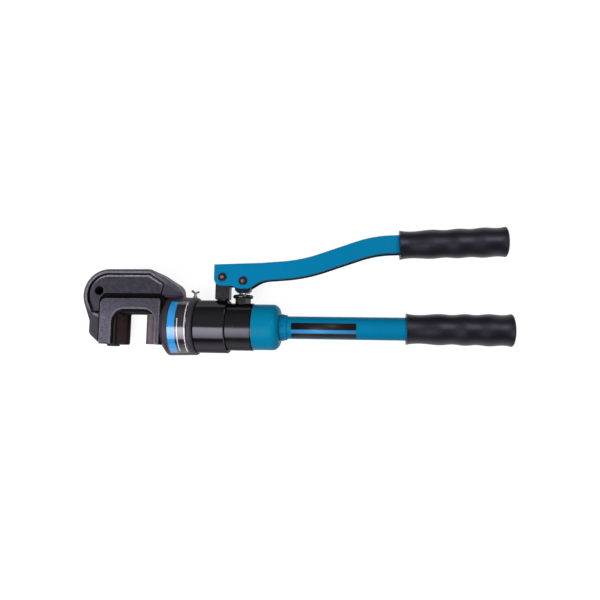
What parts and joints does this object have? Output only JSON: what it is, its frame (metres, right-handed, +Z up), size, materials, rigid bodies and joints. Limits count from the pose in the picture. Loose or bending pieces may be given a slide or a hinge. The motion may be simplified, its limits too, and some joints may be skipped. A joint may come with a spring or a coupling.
{
  "type": "hydraulic rebar cutter",
  "caption": "Hand-pumped hydraulic cutter: a C-shaped cast head with shearing blades turns on a cylinder with pump, bent lever and straight handle.",
  "frame": {"origin": "on the ram axis, in the cutting face of the fixed blade, midway through the head's thickness", "axes": "+X along the ram axis from the head to the grips, +Y towards the pump lever, +Z up from the side the tool lies on"},
  "size_m": [0.4976, 0.1544, 0.0704],
  "materials": {
    "black_casting": "satin, slightly sandy",
    "blue_paint": "gloss",
    "grip_rubber": "matte",
    "blade_steel": "ground",
    "dark_steel": "blackened",
    "bright_steel": "machined",
    "seal_rubber": "smooth",
    "guide_bronze": "turned",
    "filter_brass": "mesh"
  },
  "bodies": {
    "frame": {"cylinder_barrel": "black_casting", "head_retaining_ring": "bright_steel", "spring_stud": "bright_steel", "return_spring": "bright_steel", "pump_body": "black_casting", "pump_seal": "seal_rubber", "cap_seal": "seal_rubber", "outlet_ball": "bright_steel", "outlet_spring": "bright_steel", "outlet_plug": "bright_steel", "inlet_ball": "bright_steel", "inlet_seat": "bright_steel", "suction_filter": "filter_brass", "gland_nut": "dark_steel", "plunger_packing": "seal_rubber", "fulcrum_block": "dark_steel", "end_cap": "blue_paint", "neck_nut": "blue_paint", "handle_tube": "blue_paint", "oil_bladder": "seal_rubber", "tube_plug": "bright_steel", "lower_grip": "grip_rubber"},
    "head": {"head_casting": "black_casting", "fixed_blade": "blade_steel", "fixed_blade_screw": "bright_steel", "blade_stop_screw": "dark_steel", "rod_wiper": "seal_rubber"},
    "lock_screw": {"head_lock_screw": "bright_steel"},
    "ram": {"ram": "bright_steel", "moving_blade": "blade_steel", "piston_seal": "seal_rubber", "piston_guide_ring": "guide_bronze", "spring_anchor": "bright_steel"},
    "lever": {"lever_arm": "blue_paint", "lever_stub": "bright_steel", "upper_grip": "grip_rubber", "fulcrum_pin": "bright_steel", "plunger_pin": "bright_steel", "retaining_clips": "bright_steel"},
    "plunger": {"pump_plunger": "bright_steel"},
    "release": {"release_screw": "bright_steel"}
  },
  "joints": [
    {"name": "head_swivel", "type": "hinge", "parent": "frame", "child": "head", "pos_m": [0, 0, 0], "axis": [1, 0, 0], "range_deg": [-180, 180]},
    {"name": "lock_screw_turn", "type": "hinge", "parent": "head", "child": "lock_screw", "pos_m": [0.088, 0.035, 0], "axis": [0, 1, 0], "range_deg": [0, 360]},
    {"name": "ram_slide", "type": "slide", "parent": "head", "child": "ram", "axis": [-1, 0, 0], "range_m": [0, 0.031], "deforming": ["return_spring"]},
    {"name": "lever_hinge", "type": "hinge", "parent": "frame", "child": "lever", "pos_m": [0.1224, 0.0584, 0], "axis": [0, 0, 1], "range_deg": [-3, 35]},
    {"name": "plunger_slide", "type": "slide", "parent": "frame", "child": "plunger", "axis": [0, 1, 0], "range_m": [-0.0013, 0.0151]},
    {"name": "release_turn", "type": "hinge", "parent": "frame", "child": "release", "pos_m": [0.14, -0.014, -0.02], "axis": [0, 0, -1], "range_deg": [0, 360]}
  ],
  "couplings": [
    {"joint": "plunger_slide", "follows": "lever_hinge", "m_per_rad": 0.0247}
  ]
}
